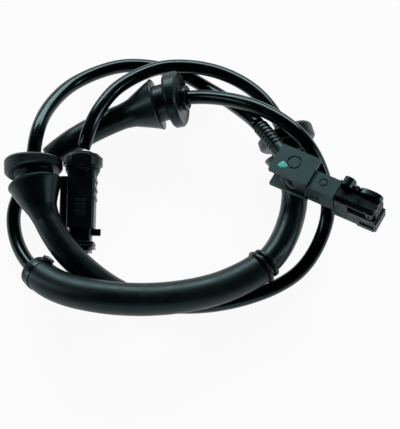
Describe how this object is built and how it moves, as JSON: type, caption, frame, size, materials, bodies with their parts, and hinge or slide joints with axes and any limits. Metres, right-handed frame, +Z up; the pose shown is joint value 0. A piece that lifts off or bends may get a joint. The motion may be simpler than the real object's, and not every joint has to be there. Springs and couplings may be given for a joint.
{
  "type": "abs wheel speed sensor",
  "caption": "Wheel speed sensor: a moulded head on a coiled cable with rubber body grommets with curved tails, a protective sleeve and a plug.",
  "frame": {"origin": "middle of the footprint of the sensor, its grommets and its sleeve, on the plane that the part lies on", "axes": "+Z up from the resting plane, +X towards the sensor head, +Y away from the viewer of the picture"},
  "size_m": [0.1348, 0.105, 0.0381],
  "materials": {
    "head_plastic": "moulded, faint grain, dusty",
    "nose_plastic": "rough moulded",
    "gloss_plastic": "smooth moulded",
    "moulded_rubber": "moulded, satin, dusty",
    "cable_jacket": "extruded, satin",
    "sleeve_rubber": "extruded, satin, scuffed",
    "connector_plastic": "moulded, semi gloss",
    "lock_plastic": "moulded",
    "terminal_metal": "stamped, tinned"
  },
  "bodies": {
    "root": {"sensor_head": "head_plastic", "sensor_nose": "nose_plastic", "locating_pin": "gloss_plastic", "retaining_clip": "gloss_plastic", "strain_relief": "moulded_rubber", "cable": "cable_jacket", "front_grommet": "moulded_rubber", "rear_grommet": "moulded_rubber", "side_grommet": "moulded_rubber", "cable_collar": "gloss_plastic", "protective_sleeve": "sleeve_rubber", "sleeve_tie": "gloss_plastic", "connector_housing": "connector_plastic", "connector_cap": "connector_plastic", "cable_seal": "moulded_rubber", "terminal_lock": "lock_plastic", "terminal_a": "terminal_metal", "terminal_b": "terminal_metal", "front_seal": "moulded_rubber"}
  },
  "joints": []
}
